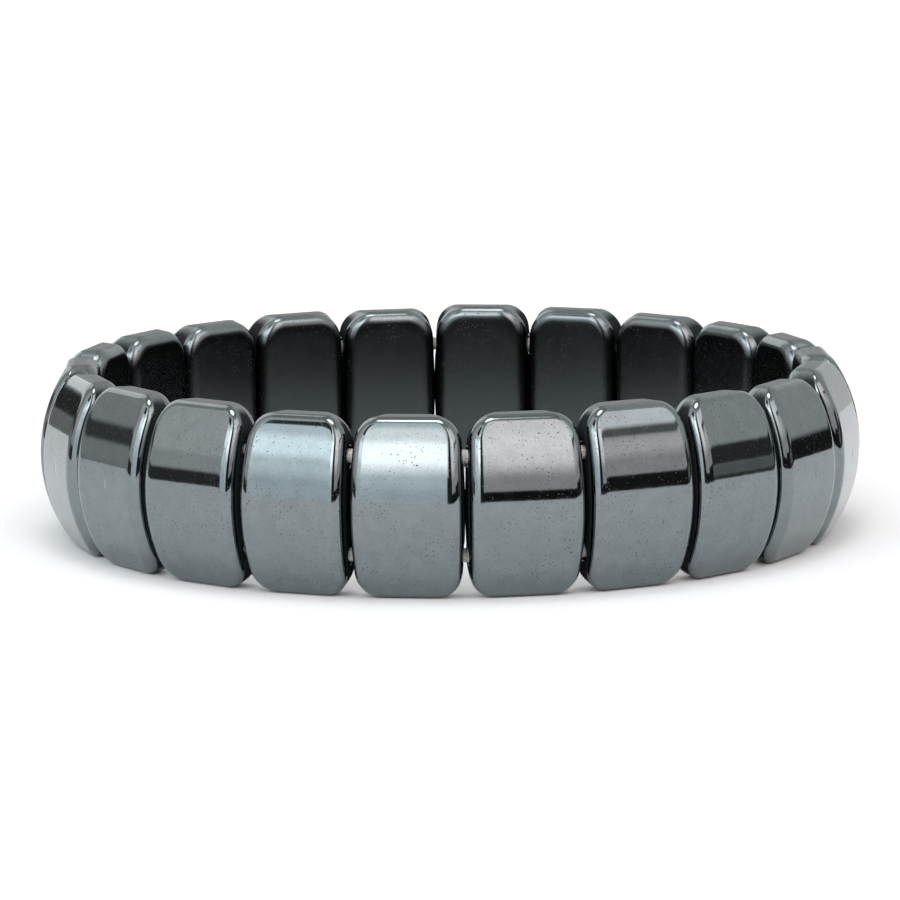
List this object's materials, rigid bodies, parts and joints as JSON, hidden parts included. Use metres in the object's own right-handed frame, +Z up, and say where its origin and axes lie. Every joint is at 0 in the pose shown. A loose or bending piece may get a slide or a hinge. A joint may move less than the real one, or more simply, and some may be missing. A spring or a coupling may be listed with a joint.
{
  "type": "hematite bracelet",
  "caption": "Stretch bracelet of domed oblong stone tablets strung side by side on elastic; lies flat as an oval ring around an open hollow for the wrist.",
  "frame": {"origin": "middle of the oval ring, on the surface that the bracelet lies on", "axes": "+Z up, along the height of the beads; +X to the right along the oval's long way; -Y towards the front of the picture"},
  "size_m": [0.0674, 0.064, 0.0144],
  "materials": {
    "hematite": "polished to a dark metallic mirror, with fine pits",
    "elastic": "off-white fibrous stretch floss"
  },
  "bodies": {
    "root": {"bead_01": "hematite", "bead_02": "hematite", "bead_03": "hematite", "bead_04": "hematite", "bead_05": "hematite", "bead_06": "hematite", "bead_07": "hematite", "bead_08": "hematite", "bead_09": "hematite", "bead_10": "hematite", "bead_11": "hematite", "bead_12": "hematite", "bead_13": "hematite", "bead_14": "hematite", "bead_15": "hematite", "bead_16": "hematite", "bead_17": "hematite", "bead_18": "hematite", "bead_19": "hematite", "bead_20": "hematite", "bead_21": "hematite", "bead_22": "hematite", "elastic_upper": "elastic", "elastic_lower": "elastic"}
  },
  "joints": []
}
